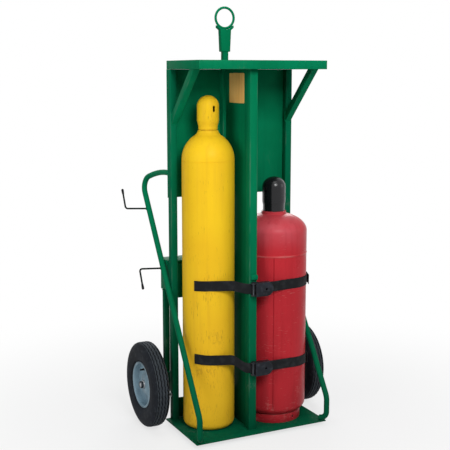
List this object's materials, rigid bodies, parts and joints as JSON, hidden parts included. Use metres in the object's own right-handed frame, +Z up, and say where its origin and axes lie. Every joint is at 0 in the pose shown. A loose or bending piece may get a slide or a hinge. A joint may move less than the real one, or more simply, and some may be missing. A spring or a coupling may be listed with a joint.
{
  "type": "oxy acetylene torch cart",
  "caption": "Upright green firewall cart on pneumatic wheels that carries a strapped yellow oxygen cylinder and a red acetylene cylinder, with a tool box, handles and a lifting eye.",
  "frame": {"origin": "on the floor under the cart, midway between the wheels, on the underside of the skid pan", "axes": "+X to the cart's right seen from the front, +Y towards the wheels and handles, +Z up"},
  "size_m": [0.8952, 0.6397, 1.9135],
  "materials": {
    "green_enamel": "semi-gloss green enamel with scuffs",
    "yellow_enamel": "worn yellow enamel",
    "red_enamel": "red enamel",
    "black_enamel": "gloss black enamel",
    "brass": "turned brass",
    "tyre_rubber": "ribbed black tyre rubber",
    "black_rubber": "black moulded rubber",
    "rim_enamel": "blue-grey enamel",
    "plated_steel": "zinc-plated steel",
    "webbing": "woven black webbing",
    "black_plastic": "black plastic grip"
  },
  "bodies": {
    "cart": {"skid_pan": "green_enamel", "base_plate": "green_enamel", "left_upright": "green_enamel", "right_upright": "green_enamel", "upper_back_panel": "green_enamel", "mid_back_panel": "green_enamel", "lower_back_panel": "green_enamel", "firewall_sheet": "green_enamel", "firewall_front_post": "green_enamel", "firewall_rear_post": "green_enamel", "roof_tray": "green_enamel", "left_roof_brace": "green_enamel", "right_roof_brace": "green_enamel", "lifting_post": "green_enamel", "lifting_ring": "green_enamel", "left_handle_tube": "green_enamel", "right_handle_tube": "green_enamel", "upper_hose_hook": "green_enamel", "lower_hose_hook": "green_enamel", "tool_box": "green_enamel", "left_axle_leg": "green_enamel", "right_axle_leg": "green_enamel", "left_axle_bracket": "green_enamel", "right_axle_bracket": "green_enamel", "lid_hinge_rod": "plated_steel", "left_axle_nut": "plated_steel", "right_axle_nut": "plated_steel", "oxygen_cylinder": "yellow_enamel", "acetylene_cylinder": "red_enamel", "acetylene_foot_ring": "red_enamel", "oxygen_valve": "brass", "acetylene_valve": "brass", "upper_strap_tail": "webbing", "upper_strap_band": "webbing", "upper_ratchet_frame": "plated_steel", "upper_strap_anchor": "plated_steel", "lower_strap_tail": "webbing", "lower_strap_band": "webbing", "lower_ratchet_frame": "plated_steel", "lower_strap_anchor": "plated_steel"},
    "left_wheel": {"left_tyre": "tyre_rubber", "left_rim": "rim_enamel", "left_hub": "rim_enamel", "left_valve_stem": "black_rubber"},
    "right_wheel": {"right_tyre": "tyre_rubber", "right_rim": "rim_enamel", "right_hub": "rim_enamel", "right_valve_stem": "black_rubber"},
    "lid": {"tool_box_lid": "green_enamel"},
    "upper_handle": {"upper_ratchet_handle": "black_plastic"},
    "upper_pawl": {"upper_ratchet_pawl": "plated_steel"},
    "upper_spool": {"upper_ratchet_spool": "plated_steel"},
    "lower_handle": {"lower_ratchet_handle": "black_plastic"},
    "lower_pawl": {"lower_ratchet_pawl": "plated_steel"},
    "lower_spool": {"lower_ratchet_spool": "plated_steel"},
    "oxygen_cap_body": {"oxygen_cap": "yellow_enamel"},
    "oxygen_wheel": {"oxygen_handwheel": "black_enamel"},
    "acetylene_cap_body": {"acetylene_cap": "black_enamel"},
    "acetylene_wheel": {"acetylene_handwheel": "black_enamel"}
  },
  "joints": [
    {"name": "left_wheel_turn", "type": "hinge", "parent": "cart", "child": "left_wheel", "pos_m": [-0.4056, 0.178, 0.196], "axis": [1, 0, 0], "continuous": true},
    {"name": "right_wheel_turn", "type": "hinge", "parent": "cart", "child": "right_wheel", "pos_m": [0.4056, 0.178, 0.196], "axis": [1, 0, 0], "continuous": true},
    {"name": "lid_lift", "type": "hinge", "parent": "cart", "child": "lid", "pos_m": [0, 0.14865, 0.7665], "axis": [1, 0, 0], "range_deg": [0, 90]},
    {"name": "upper_handle_swing", "type": "hinge", "parent": "cart", "child": "upper_handle", "pos_m": [-0.03998, -0.178, 0.682], "axis": [0, 0, -1], "range_deg": [0, 120]},
    {"name": "upper_pawl_slide", "type": "slide", "parent": "upper_handle", "child": "upper_pawl", "axis": [1, 0, 0], "range_m": [0, 0.005], "stiffness_N_per_m": 200},
    {"name": "upper_spool_turn", "type": "hinge", "parent": "cart", "child": "upper_spool", "pos_m": [-0.03998, -0.178, 0.682], "axis": [0, 0, 1], "continuous": true},
    {"name": "lower_handle_swing", "type": "hinge", "parent": "cart", "child": "lower_handle", "pos_m": [-0.03998, -0.178, 0.32], "axis": [0, 0, -1], "range_deg": [0, 120]},
    {"name": "lower_pawl_slide", "type": "slide", "parent": "lower_handle", "child": "lower_pawl", "axis": [1, 0, 0], "range_m": [0, 0.005], "stiffness_N_per_m": 200},
    {"name": "lower_spool_turn", "type": "hinge", "parent": "cart", "child": "lower_spool", "pos_m": [-0.03998, -0.178, 0.32], "axis": [0, 0, 1], "continuous": true},
    {"name": "oxygen_cap_turn", "type": "hinge", "parent": "cart", "child": "oxygen_cap_body", "pos_m": [-0.17097, 0.01206, 1.36629], "axis": [0, 0, 1], "continuous": true},
    {"name": "oxygen_valve_turn", "type": "hinge", "parent": "cart", "child": "oxygen_wheel", "pos_m": [-0.17097, 0.01206, 1.46029], "axis": [0, 0, 1], "range_deg": [0, 1080]},
    {"name": "acetylene_cap_turn", "type": "hinge", "parent": "cart", "child": "acetylene_cap_body", "pos_m": [0.14842, -0.01435, 0.999], "axis": [0, 0, 1], "continuous": true},
    {"name": "acetylene_valve_turn", "type": "hinge", "parent": "cart", "child": "acetylene_wheel", "pos_m": [0.14842, -0.01435, 1.093], "axis": [0, 0, 1], "range_deg": [0, 540]}
  ]
}
